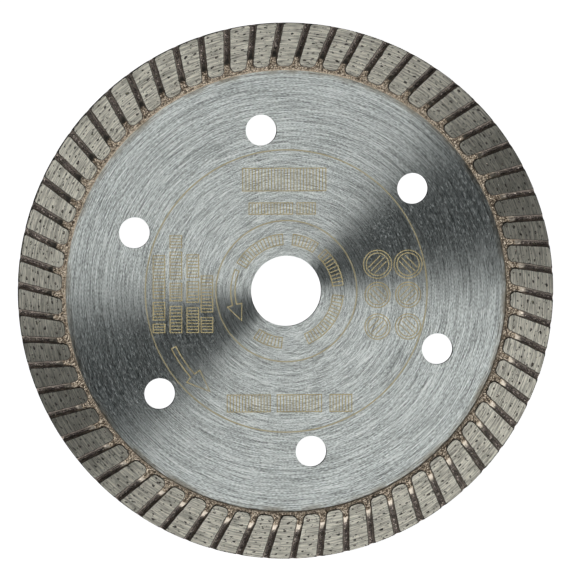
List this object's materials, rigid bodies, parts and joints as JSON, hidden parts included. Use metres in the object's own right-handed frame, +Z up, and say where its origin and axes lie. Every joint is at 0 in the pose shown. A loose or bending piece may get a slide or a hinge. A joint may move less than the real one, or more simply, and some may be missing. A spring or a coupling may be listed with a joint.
{
  "type": "diamond blade",
  "caption": "Small turbo-rim diamond cutting disc: thin brushed steel core with bore and round cooling holes, sintered rim with slanted grooves on both faces.",
  "frame": {"origin": "centre of the arbor bore, half way through the core's thickness", "axes": "the blade stands on edge; +Y is the spin axis and points away from the marked face, +Z is up with the marking upright"},
  "size_m": [0.076, 0.002, 0.076],
  "materials": {
    "core_steel": "ground in circles about the axis, with laser-marked rings, arrows and blocks",
    "bond_foot": "granular as-sintered bronze",
    "diamond_bond": "lands ground flat with pits, groove floors dark and rough as sintered",
    "diamond_grit": "small translucent yellow-grey crystals, glossy facets"
  },
  "bodies": {
    "root": {"steel_core": "core_steel", "transition_ring": "bond_foot", "diamond_rim": "diamond_bond", "diamond_grit_front": "diamond_grit", "diamond_grit_back": "diamond_grit", "diamond_grit_edge": "diamond_grit"}
  },
  "joints": []
}
